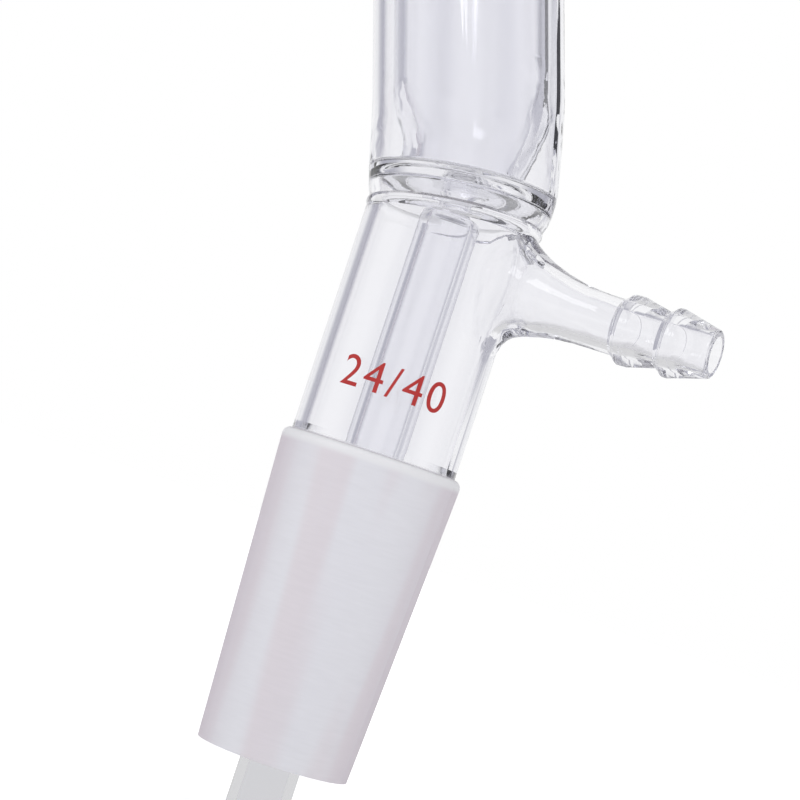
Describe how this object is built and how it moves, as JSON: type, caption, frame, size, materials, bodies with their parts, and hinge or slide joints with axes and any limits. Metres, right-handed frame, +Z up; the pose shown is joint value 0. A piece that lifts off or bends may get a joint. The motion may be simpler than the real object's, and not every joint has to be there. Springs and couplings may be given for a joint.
{
  "type": "short path distillation head",
  "caption": "Clear glass short path distillation head: column with a thermometer socket, water-jacketed condenser and a vacuum take-off with a drip tube and ground joints.",
  "frame": {"origin": "centre of the flask joint's wide end, on the column's axis", "axes": "+Z up the column, +X towards the take-off, both vertical axes in the XZ plane"},
  "size_m": [0.1463, 0.025, 0.241],
  "materials": {
    "glass": "clear fire-polished glass, ground matt on the joints"
  },
  "bodies": {
    "root": {"distillation_head": "glass"}
  },
  "joints": []
}
